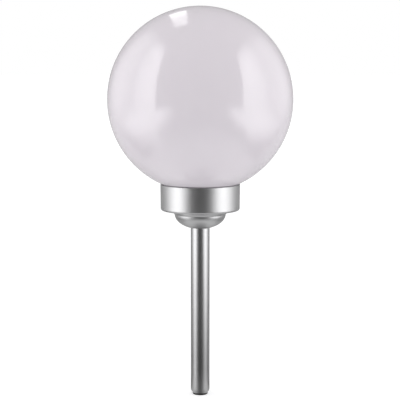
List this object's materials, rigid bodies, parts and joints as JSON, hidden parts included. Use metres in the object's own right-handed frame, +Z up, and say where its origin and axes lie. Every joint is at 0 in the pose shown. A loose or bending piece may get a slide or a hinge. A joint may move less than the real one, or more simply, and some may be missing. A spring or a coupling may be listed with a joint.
{
  "type": "garden globe light",
  "caption": "Solar garden stake light: an opal globe screwed into a silver collar with a domed socket, on a slim metal pole with a plugged lower end.",
  "frame": {"origin": "centre of the mouth of the spike socket in the pole's end plug, which is the lowest point of the light", "axes": "+Z up along the pole to the top of the globe, -Y the front of the light, the switch is at +Y under the collar"},
  "size_m": [0.2, 0.2, 0.424],
  "materials": {
    "opal_globe": "gloss, translucent white",
    "silver_plastic": "satin silver paint",
    "pole_steel": "satin",
    "black_plastic": "fine texture",
    "seal_rubber": "matt",
    "screw_steel": "zinc plated",
    "contact_steel": "nickel plated",
    "circuit_board": "solder mask",
    "solar_silicon": "dark blue silicon",
    "clear_cover": "clear",
    "led_epoxy": "clear epoxy",
    "coil_resin": "dipped resin",
    "capacitor_can": "shrink sleeve",
    "cell_sleeve": "shrink sleeve",
    "wire_insulation": "soft"
  },
  "bodies": {
    "pole": {"pole_tube": "pole_steel", "pole_end_plug": "black_plastic"},
    "head": {"collar_housing": "silver_plastic", "pole_socket_dome": "silver_plastic", "dome_screws": "screw_steel", "panel_carrier": "black_plastic", "carrier_screws": "screw_steel", "solar_panel_board": "circuit_board", "solar_cells": "solar_silicon", "panel_cover": "clear_cover", "control_board": "circuit_board", "led_board": "circuit_board", "board_screws": "screw_steel", "leds": "led_epoxy", "driver_chip": "black_plastic", "boost_coil": "coil_resin", "capacitor": "capacitor_can", "battery_holder": "black_plastic", "battery_cell": "cell_sleeve", "battery_contact_positive": "contact_steel", "battery_contact_negative": "contact_steel", "switch_body": "black_plastic", "battery_leads": "wire_insulation", "switch_leads": "wire_insulation", "link_leads": "wire_insulation", "panel_leads": "wire_insulation"},
    "seal": {"globe_seal": "seal_rubber"},
    "globe": {"globe_shade": "opal_globe"},
    "knob": {"switch_knob": "black_plastic"}
  },
  "joints": [
    {"name": "head_pull_off", "type": "slide", "parent": "pole", "child": "head", "axis": [0, 0, 1], "range_m": [0, 0.025]},
    {"name": "globe_rise", "type": "slide", "parent": "head", "child": "seal", "axis": [0, 0, 1], "range_m": [0, 0.009]},
    {"name": "globe_unscrew", "type": "hinge", "parent": "seal", "child": "globe", "pos_m": [0, 0, 0.224], "axis": [0, 0, 1], "range_deg": [0, 270]},
    {"name": "switch_slide", "type": "slide", "parent": "head", "child": "knob", "axis": [1, 0, 0], "range_m": [0, 0.003]}
  ],
  "couplings": [
    {"joint": "globe_rise", "follows": "globe_unscrew", "m_per_rad": 0.0019099}
  ]
}
